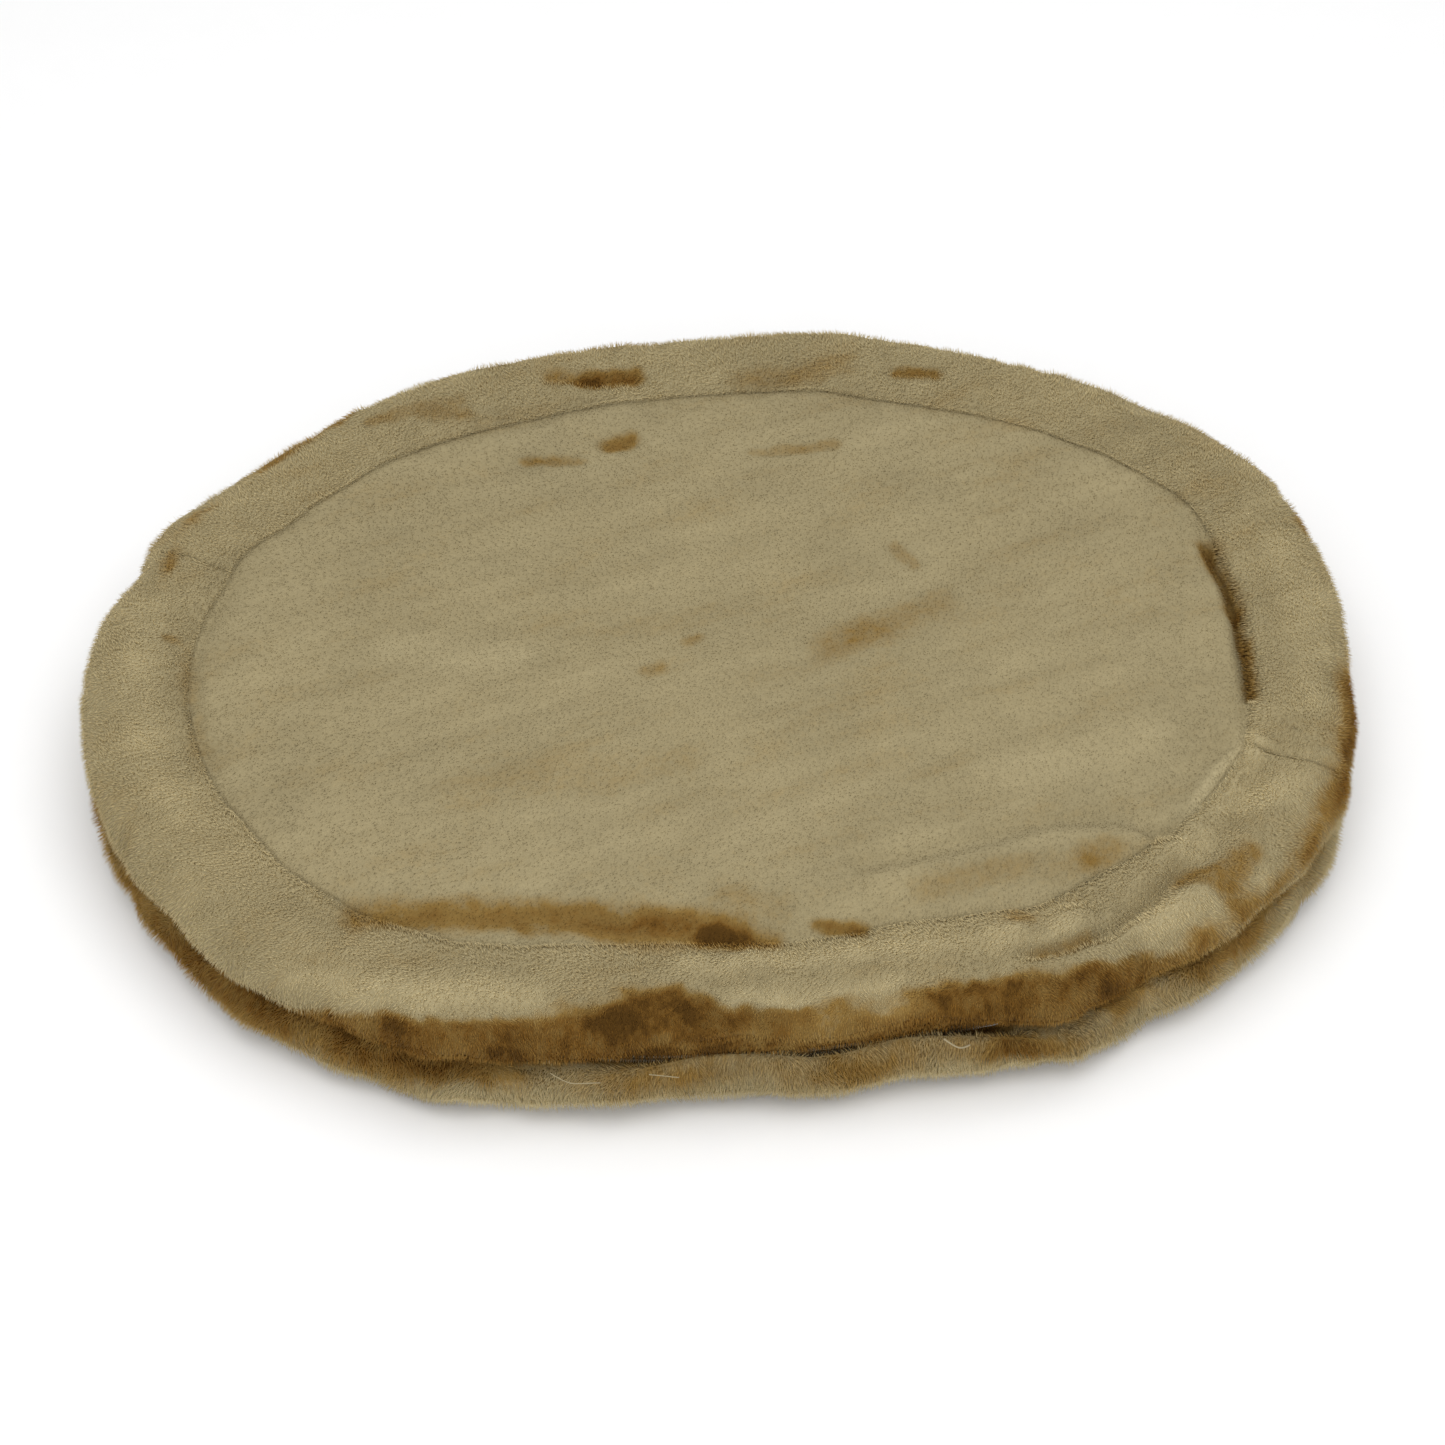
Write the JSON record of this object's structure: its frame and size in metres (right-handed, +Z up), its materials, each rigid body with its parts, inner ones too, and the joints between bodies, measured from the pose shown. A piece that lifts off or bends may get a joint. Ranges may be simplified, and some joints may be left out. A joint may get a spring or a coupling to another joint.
{
  "type": "pet cushion bed",
  "caption": "Oval plush pet cushion bed with a flat sleeping pad, a sewn groove, a stuffed rim and a concealed zip in the front crease.",
  "frame": {"origin": "middle of the base, on the floor", "axes": "+X along the length, -Y to the front where the zip is, +Z up"},
  "size_m": [0.7, 0.535, 0.084],
  "materials": {
    "plush": "short light tan pile, golden brown where it is parted",
    "base_cloth": "plain woven cloth",
    "case_cloth": "white non-woven cloth",
    "fibre_fill": "loose white polyester fibre",
    "wadding": "white polyester wadding",
    "foam": "soft open-cell foam",
    "thread": "twisted polyester thread",
    "zip_tape": "woven herringbone tape",
    "zip_teeth": "moulded nylon teeth",
    "zip_metal": "antique brass plating, worn at the edges"
  },
  "bodies": {
    "bed": {"top_panel": "plush", "rim_panel_front": "plush", "rim_panel_rear": "plush", "lower_panel_front": "plush", "lower_panel_rear": "plush", "base_panel": "base_cloth", "rim_case": "case_cloth", "pad_case_top": "case_cloth", "pad_case_bottom": "case_cloth", "rim_fill": "fibre_fill", "rim_wadding": "wadding", "lower_wadding": "wadding", "wadding_top": "wadding", "wadding_bottom": "wadding", "foam_core": "foam", "groove_stitching": "thread", "middle_seam_stitching": "thread", "base_seam_stitching": "thread", "pad_case_stitching": "thread", "zip_stitching": "thread", "zip_tape_upper": "zip_tape", "zip_tape_lower": "zip_tape", "zip_coil_upper": "zip_teeth", "zip_coil_lower": "zip_teeth", "zip_stop_closed": "zip_metal", "zip_stop_open": "zip_metal"},
    "zip_slider": {"zip_slider": "zip_metal"},
    "zip_pull": {"zip_pull": "zip_metal"}
  },
  "joints": [
    {"name": "zip_slide", "type": "hinge", "parent": "bed", "child": "zip_slider", "pos_m": [0, 0.30125, 0.041], "axis": [0, 0, 1], "range_deg": [0, 30.95]},
    {"name": "pull_swing", "type": "hinge", "parent": "zip_slider", "child": "zip_pull", "pos_m": [-0.14974, -0.2396, 0.041], "axis": [0, 0, -1], "range_deg": [0, 120]}
  ]
}
